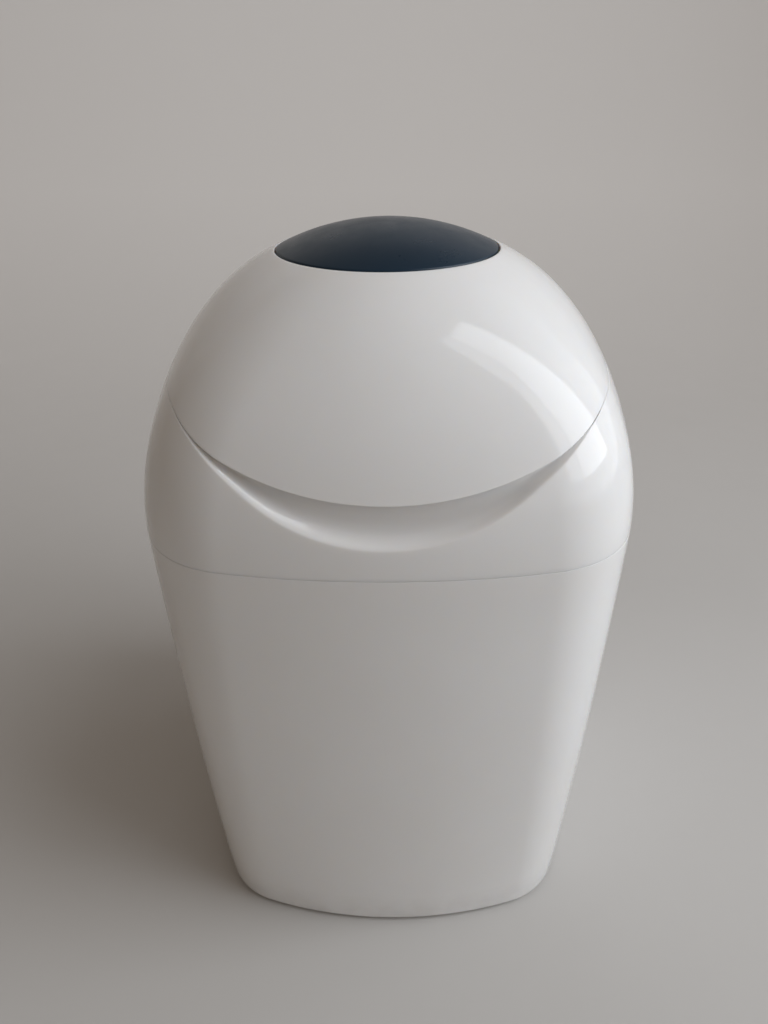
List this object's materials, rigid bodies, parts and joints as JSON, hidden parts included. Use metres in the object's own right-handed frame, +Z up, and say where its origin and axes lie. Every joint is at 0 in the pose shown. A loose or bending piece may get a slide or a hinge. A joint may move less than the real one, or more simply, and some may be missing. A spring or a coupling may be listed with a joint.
{
  "type": "nappy bin",
  "caption": "Free-standing domed nappy bin with a rounded-square tub, a hinged housing with a twist-to-wrap film cassette, a front finger scoop and a hinged lid with a dark disc.",
  "frame": {"origin": "centre of the footprint, on the floor under the feet", "axes": "+Z up, -Y is the front with the finger scoop, +X to the right seen from the front"},
  "size_m": [0.3132, 0.3129, 0.48],
  "materials": {
    "white_shell": "glossy moulded",
    "dark_disc": "satin moulded",
    "deck_plastic": "satin moulded",
    "grey_plastic": "satin moulded",
    "cassette_plastic": "satin moulded",
    "film": "thin pleated film",
    "foot_rubber": "matt",
    "seal_rubber": "matt",
    "steel": "plated"
  },
  "bodies": {
    "tub": {"tub_shell": "white_shell", "base_feet": "foot_rubber", "housing_hinge_pin": "steel"},
    "housing": {"housing_shell": "white_shell", "lid_hinge_pin": "steel", "deck": "deck_plastic", "deck_screws": "steel", "cup_screws": "steel", "mechanism_cup": "deck_plastic", "pawl_pin": "steel", "pawl_spring": "steel", "retaining_fingers": "deck_plastic", "finger_screws": "steel", "cutter_blade": "steel", "cutter_guard": "grey_plastic", "snap_clips": "steel"},
    "lid": {"lid_shell": "white_shell", "lid_disc": "dark_disc", "lid_liner": "deck_plastic", "liner_screws": "steel", "lid_seal": "seal_rubber"},
    "rotor": {"cassette_carrier": "grey_plastic", "twist_ring": "grey_plastic", "cassette_tub": "cassette_plastic", "cassette_cap": "cassette_plastic", "film_pack": "film"},
    "pawl": {"click_pawl": "grey_plastic"}
  },
  "joints": [
    {"name": "housing_hinge", "type": "hinge", "parent": "tub", "child": "housing", "pos_m": [0, 0.1518, 0.3182], "axis": [-1, 0, 0], "range_deg": [0, 92]},
    {"name": "lid_hinge", "type": "hinge", "parent": "housing", "child": "lid", "pos_m": [0, 0.1392, 0.4032], "axis": [-1, 0, 0], "range_deg": [0, 98]},
    {"name": "twist", "type": "hinge", "parent": "housing", "child": "rotor", "pos_m": [0, 0, 0.3693], "axis": [0, 0, 1], "continuous": true},
    {"name": "pawl_pivot", "type": "hinge", "parent": "housing", "child": "pawl", "pos_m": [0.118, -0.026, 0.354], "axis": [0, 0, -1], "range_deg": [0, 12], "stiffness_Nm_per_rad": 0.05, "deforming": ["pawl_spring"]}
  ]
}
